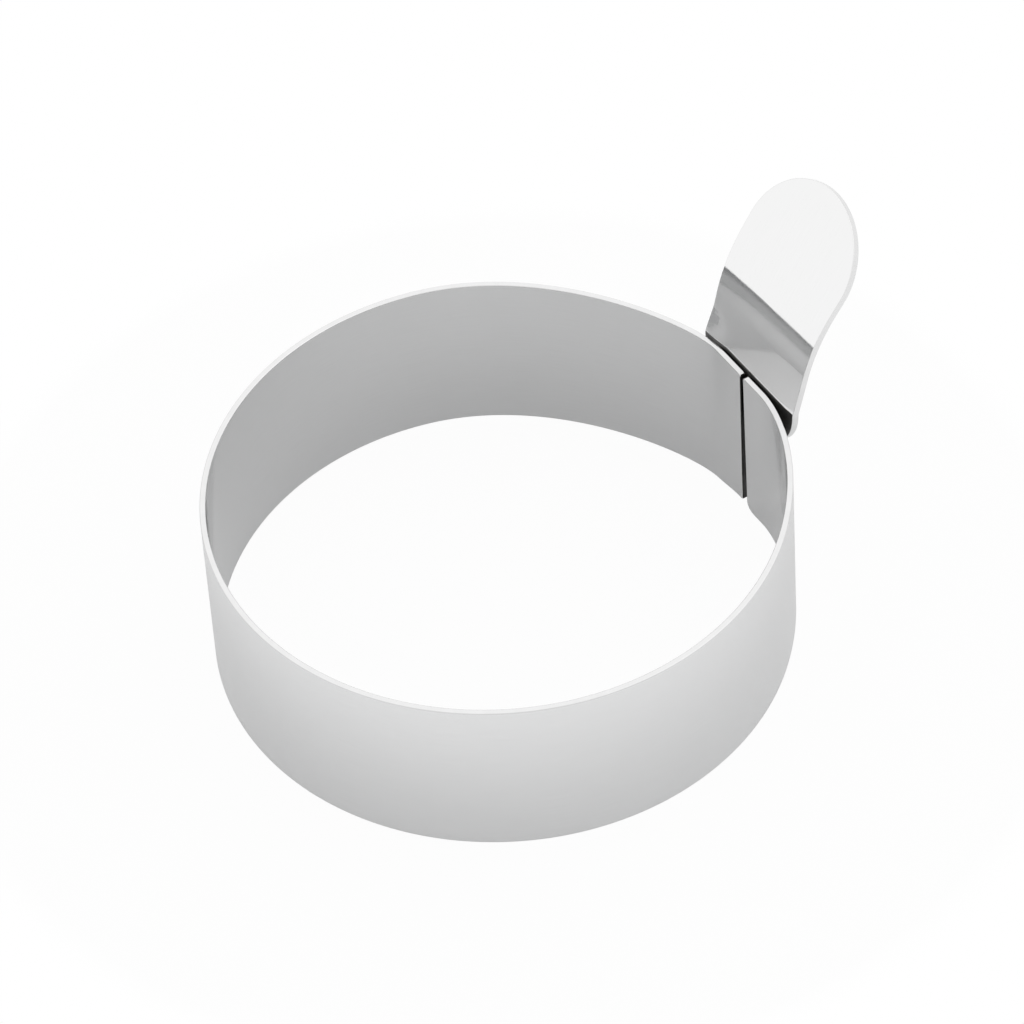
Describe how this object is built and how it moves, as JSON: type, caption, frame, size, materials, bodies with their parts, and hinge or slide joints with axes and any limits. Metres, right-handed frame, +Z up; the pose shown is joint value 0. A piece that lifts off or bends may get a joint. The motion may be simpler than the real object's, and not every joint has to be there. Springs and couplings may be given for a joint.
{
  "type": "egg ring",
  "caption": "Open round stainless steel band that holds a frying egg in shape, with a pressed tab handle spot welded over the band's butt seam and leaning outwards.",
  "frame": {"origin": "on the table, under the middle of the part's outer box; the ring's axis stands 7.19 mm behind it on the X axis", "axes": "+X from the ring's axis towards the handle, +Y to the left of the handle seen from inside the ring, +Z up"},
  "size_m": [0.091, 0.0766, 0.0509],
  "materials": {
    "band_satin": "satin stainless strip with fine lengthwise brushing and a bright tumbled rim",
    "handle_mirror": "mirror-polished stainless sheet",
    "weld_metal": "fused stainless, hidden between the sheets"
  },
  "bodies": {
    "root": {"ring_band": "band_satin", "handle": "handle_mirror", "weld_left": "weld_metal", "weld_right": "weld_metal"}
  },
  "joints": []
}
